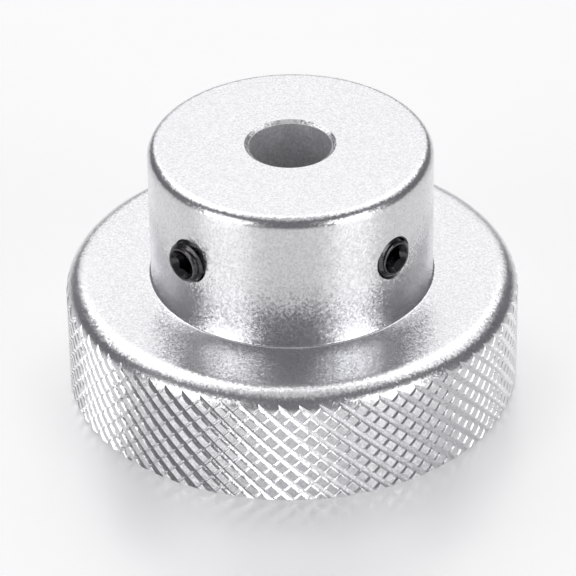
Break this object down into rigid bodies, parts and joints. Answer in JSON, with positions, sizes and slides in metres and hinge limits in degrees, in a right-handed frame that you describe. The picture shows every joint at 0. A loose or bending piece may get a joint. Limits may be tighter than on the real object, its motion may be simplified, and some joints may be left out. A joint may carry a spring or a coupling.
{
  "type": "knurled machine handwheel",
  "caption": "Turned aluminium handwheel: a hub on a broad flange with a diamond knurled rim, a through bore and radial cup point set screws.",
  "frame": {"origin": "centre of the underside, on the shaft's axis", "axes": "+Z along the bore towards the hub's end; the left set screw points along -Y and the right one along +X"},
  "size_m": [0.044, 0.044, 0.0262],
  "materials": {
    "anodised_aluminium": "fine bead blasted, clear anodised, satin",
    "black_oxide_steel": "black oxide, lightly oiled"
  },
  "bodies": {
    "wheel": {"wheel_body": "anodised_aluminium"},
    "left_screw": {"left_set_screw": "black_oxide_steel"},
    "right_screw": {"right_set_screw": "black_oxide_steel"}
  },
  "joints": [
    {"name": "left_screw_travel", "type": "slide", "parent": "wheel", "child": "left_screw", "axis": [0, -1, 0], "range_m": [-0.0032, 0.0049]},
    {"name": "right_screw_travel", "type": "slide", "parent": "wheel", "child": "right_screw", "axis": [1, 0, 0], "range_m": [-0.00245, 0.00565]}
  ]
}
